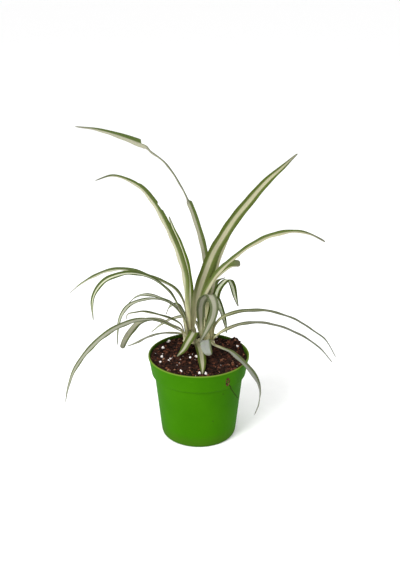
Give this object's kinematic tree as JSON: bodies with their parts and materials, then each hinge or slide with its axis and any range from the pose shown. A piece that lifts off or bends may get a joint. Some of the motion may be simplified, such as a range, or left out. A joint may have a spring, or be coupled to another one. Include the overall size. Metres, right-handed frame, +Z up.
{
  "type": "potted spider plant",
  "caption": "Variegated spider plant of two rooted plantlets with long arching strap leaves, growing in potting soil in a round green nursery pot that stands on its foot ring.",
  "frame": {"origin": "centre of the pot's base, on the plane of its foot ring", "axes": "+Z up along the pot's axis, +X to the right and +Y to the rear seen from the pot's front"},
  "size_m": [0.3038, 0.174, 0.3165],
  "materials": {
    "pot_plastic": "smooth injection-moulded polypropylene with a soft sheen",
    "soil": "loose dark peat mix with bark chips and white perlite, rough and dull",
    "crown_tissue": "pale firm plant tissue with a dull skin",
    "leaf_blade": "living leaf with a waxy skin, green edges and a cream stripe"
  },
  "bodies": {
    "root": {"pot": "pot_plastic", "potting_soil": "soil", "left_crown": "crown_tissue", "right_crown": "crown_tissue", "left_leaf_01": "leaf_blade", "left_leaf_02": "leaf_blade", "left_leaf_03": "leaf_blade", "left_leaf_04": "leaf_blade", "left_leaf_05": "leaf_blade", "left_leaf_06": "leaf_blade", "left_leaf_07": "leaf_blade", "left_leaf_08": "leaf_blade", "left_leaf_09": "leaf_blade", "left_leaf_10": "leaf_blade", "left_leaf_11": "leaf_blade", "left_leaf_12": "leaf_blade", "left_leaf_13": "leaf_blade", "right_leaf_01": "leaf_blade", "right_leaf_02": "leaf_blade", "right_leaf_03": "leaf_blade", "right_leaf_04": "leaf_blade", "right_leaf_05": "leaf_blade", "right_leaf_06": "leaf_blade", "right_leaf_07": "leaf_blade", "right_leaf_08": "leaf_blade", "right_leaf_09": "leaf_blade", "right_leaf_10": "leaf_blade", "right_leaf_11": "leaf_blade", "right_leaf_12": "leaf_blade", "right_leaf_13": "leaf_blade", "right_leaf_14": "leaf_blade"}
  },
  "joints": []
}
